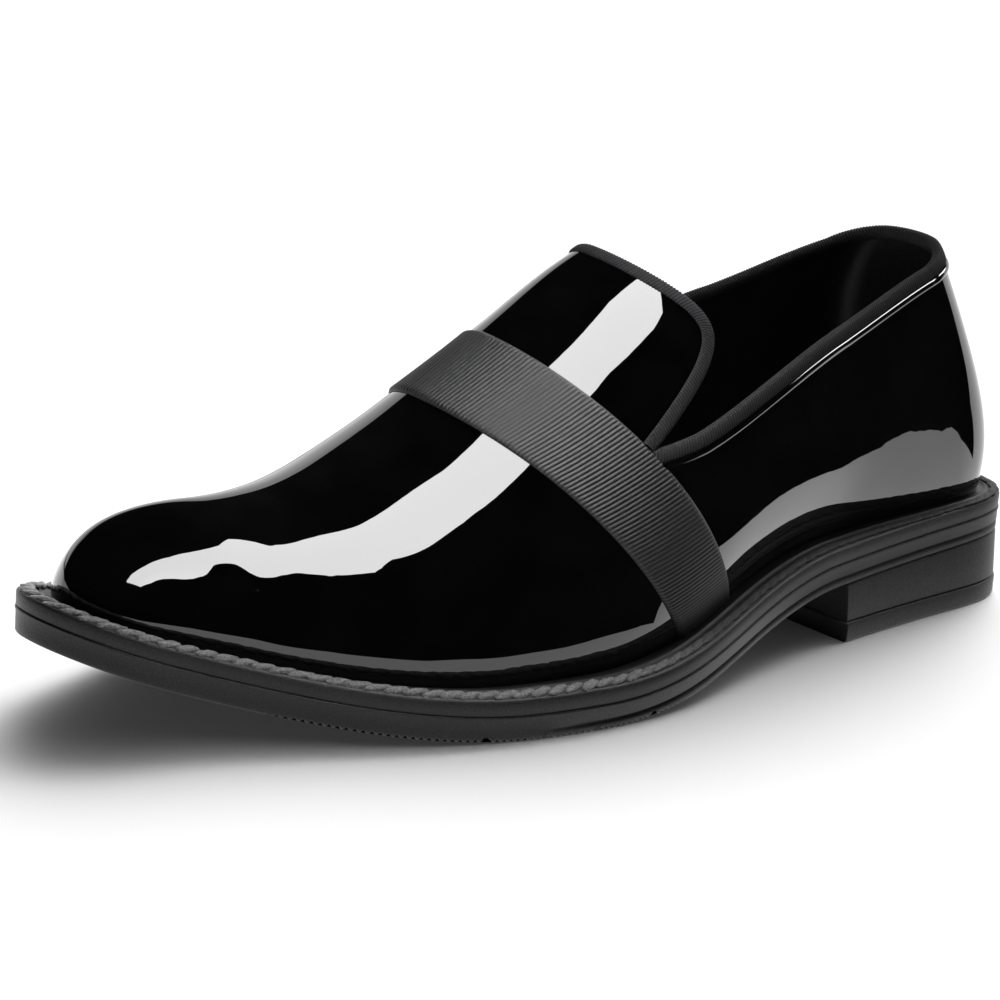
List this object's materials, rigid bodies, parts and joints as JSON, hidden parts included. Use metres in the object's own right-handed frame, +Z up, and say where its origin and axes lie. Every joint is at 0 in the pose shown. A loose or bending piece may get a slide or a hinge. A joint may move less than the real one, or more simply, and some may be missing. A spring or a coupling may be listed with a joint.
{
  "type": "tuxedo loafer",
  "caption": "Left patent slip-on dress shoe with an almond toe, a ribbed strap over the instep, bound collar and tongue, a stitched welt and a low block heel.",
  "frame": {"origin": "on the floor, at the centre of the bottom of the shoe's bounding box", "axes": "+X towards the toe, +Y towards the outer side of the left foot, +Z up"},
  "size_m": [0.3066, 0.1125, 0.1051],
  "materials": {
    "sole_rubber": "matt moulded rubber",
    "welt_rubber": "matt moulded rubber with a stitch-like rib",
    "insole_leather": "smooth black lining leather",
    "patent_leather": "black patent, mirror gloss",
    "grosgrain": "ribbed silk-like ribbon",
    "knit_binding": "fine ribbed tape",
    "backstay_leather": "black patent strip"
  },
  "bodies": {
    "root": {"outsole": "sole_rubber", "welt": "welt_rubber", "heel_block": "sole_rubber", "heel_top_lift": "sole_rubber", "insole": "insole_leather", "upper": "patent_leather", "strap": "grosgrain", "collar_binding": "knit_binding", "tongue_binding": "knit_binding", "backstay": "backstay_leather"}
  },
  "joints": []
}
